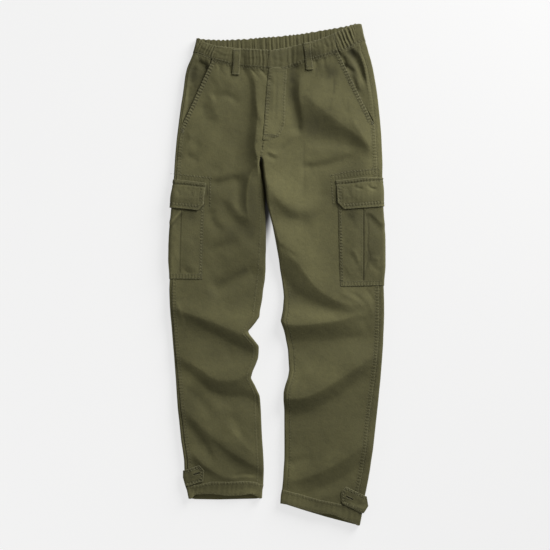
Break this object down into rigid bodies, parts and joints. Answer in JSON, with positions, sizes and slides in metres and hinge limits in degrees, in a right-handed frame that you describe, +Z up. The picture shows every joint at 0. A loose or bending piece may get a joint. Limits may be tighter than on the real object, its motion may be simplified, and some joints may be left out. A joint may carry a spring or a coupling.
{
  "type": "cargo trousers laid flat",
  "caption": "Cotton twill cargo trousers lying flat, front up, with an elastic waistband, slanted hand pockets, flapped bellows pockets on the outseams and tabbed hems.",
  "frame": {"origin": "middle of the garment's outline, on the surface it lies on", "axes": "+Y from the hems to the waist, +Z up, from the back of the trousers to their front, +X to the side that lies on the right when looked at from above"},
  "size_m": [0.4524, 1.0541, 0.026],
  "materials": {
    "twill": "matt olive cotton twill, slightly washed",
    "twill_band": "matt olive cotton twill, gathered",
    "twill_trim": "matt olive cotton twill, stitched double"
  },
  "bodies": {
    "root": {"front_panel_L": "twill", "front_panel_R": "twill", "back_panel_L": "twill", "back_panel_R": "twill", "pocket_facing_L": "twill_trim", "pocket_facing_R": "twill_trim", "fly_placket": "twill_trim", "waistband_front_L": "twill_band", "waistband_front_R": "twill_band", "waistband_back": "twill_band", "belt_loop_front_L": "twill_trim", "belt_loop_front_R": "twill_trim", "belt_loop_back_L": "twill_trim", "belt_loop_back_C": "twill_trim", "belt_loop_back_R": "twill_trim", "cargo_pocket_L": "twill_trim", "cargo_pocket_R": "twill_trim", "cargo_flap_L": "twill_trim", "cargo_flap_R": "twill_trim", "hem_band_L": "twill_band", "hem_band_R": "twill_band", "hem_tab_L": "twill_trim", "hem_tab_R": "twill_trim"}
  },
  "joints": []
}
